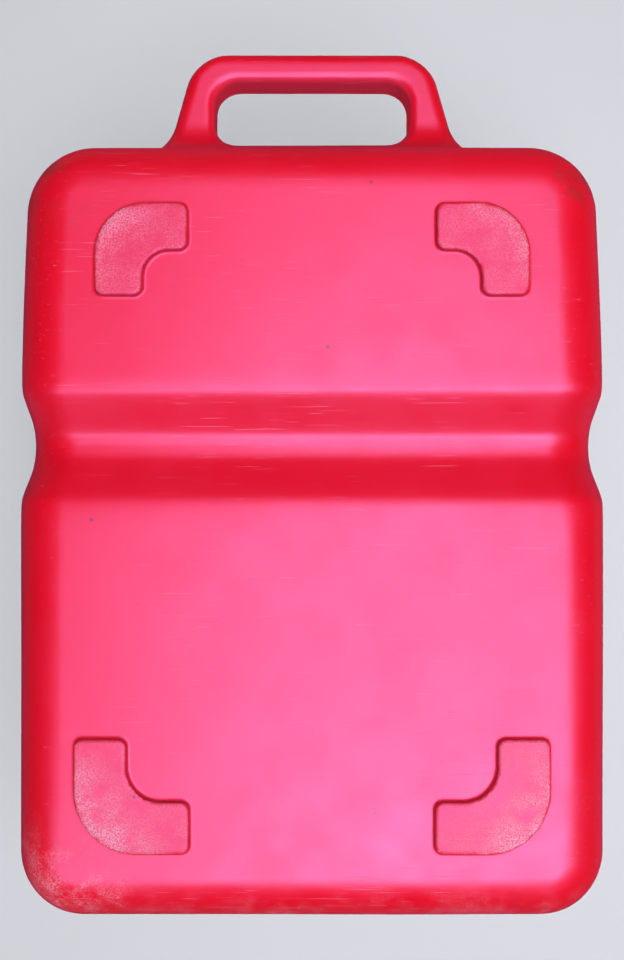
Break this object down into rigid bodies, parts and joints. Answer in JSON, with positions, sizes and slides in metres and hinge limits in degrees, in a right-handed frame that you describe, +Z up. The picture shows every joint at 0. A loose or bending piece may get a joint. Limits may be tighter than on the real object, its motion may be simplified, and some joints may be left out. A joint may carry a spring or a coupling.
{
  "type": "portable fuel tank",
  "caption": "Low moulded fuel tank with an end carrying handle, a strap channel round its waist, feet, screw cap, float gauge and fuel-line spigot.",
  "frame": {"origin": "middle of the tank's outline, on the plane that its four pads stand on", "axes": "+Z up as the tank stands on its pads, -Y towards the carrying handle, +X towards the gauge side"},
  "size_m": [0.3536, 0.534, 0.196],
  "materials": {
    "red_shell": "satin moulded polyethylene, lightly scuffed",
    "black_cap": "fine moulded grain",
    "black_unit": "satin moulded nylon",
    "rubber_seal": "matt nitrile rubber",
    "steel_screw": "stainless",
    "brass": "turned, slightly tarnished",
    "aluminium": "plain drawn",
    "dial_white": "printed plate",
    "hand_orange": "smooth moulded",
    "clear_window": "clear acrylic",
    "white_plastic": "natural acetal",
    "foam": "closed-cell foam",
    "spring_steel": "drawn wire"
  },
  "bodies": {
    "tank": {"tank_shell": "red_shell", "unit_gasket": "rubber_seal", "unit_flange": "black_unit", "flange_screws": "steel_screw", "flange_washers": "steel_screw", "thread_inserts": "brass", "gauge_dial": "dial_white", "gauge_lens": "clear_window", "gauge_bezel": "black_unit", "guide_rods": "aluminium", "cage_foot": "white_plastic", "pickup_tube": "aluminium", "pickup_strainer": "white_plastic", "outlet_spigot": "brass", "outlet_washer": "rubber_seal", "valve_spring": "spring_steel"},
    "cap_seal": {"cap_gasket": "rubber_seal"},
    "cap": {"filler_cap": "black_cap"},
    "vent_washer": {"vent_seal": "rubber_seal"},
    "vent": {"vent_screw": "black_unit"},
    "float": {"float_carrier": "white_plastic", "float_body": "foam"},
    "pointer": {"gauge_pointer": "hand_orange", "spindle_ribbon": "aluminium"},
    "valve": {"check_valve": "brass"}
  },
  "joints": [
    {"name": "cap_lift", "type": "slide", "parent": "tank", "child": "cap_seal", "axis": [0, 0, 1], "range_m": [0, 0.048]},
    {"name": "cap_turn", "type": "hinge", "parent": "cap_seal", "child": "cap", "pos_m": [-0.082, -0.112, 0.16], "axis": [0, 0, 1], "range_deg": [0, 1443]},
    {"name": "vent_lift", "type": "slide", "parent": "cap", "child": "vent_washer", "axis": [0, 0, 1], "range_m": [0, 0.003]},
    {"name": "vent_turn", "type": "hinge", "parent": "vent_washer", "child": "vent", "pos_m": [-0.082, -0.112, 0.17], "axis": [0, 0, 1], "range_deg": [0, 722]},
    {"name": "float_rise", "type": "slide", "parent": "tank", "child": "float", "axis": [0, 0, 1], "range_m": [0, 0.084]},
    {"name": "pointer_turn", "type": "hinge", "parent": "tank", "child": "pointer", "pos_m": [0.082, -0.103, 0.1], "axis": [0, 0, 1], "range_deg": [-161, 0]},
    {"name": "check_push", "type": "slide", "parent": "tank", "child": "valve", "axis": [0, 1, 0], "range_m": [0, 0.003], "stiffness_N_per_m": 250, "springref_m": -0.004, "deforming": ["valve_spring"]}
  ],
  "couplings": [
    {"joint": "cap_turn", "follows": "cap_lift", "rad_per_m": 523.6},
    {"joint": "vent_turn", "follows": "vent_lift", "rad_per_m": 4188.8},
    {"joint": "pointer_turn", "follows": "float_rise", "rad_per_m": -33.244}
  ]
}
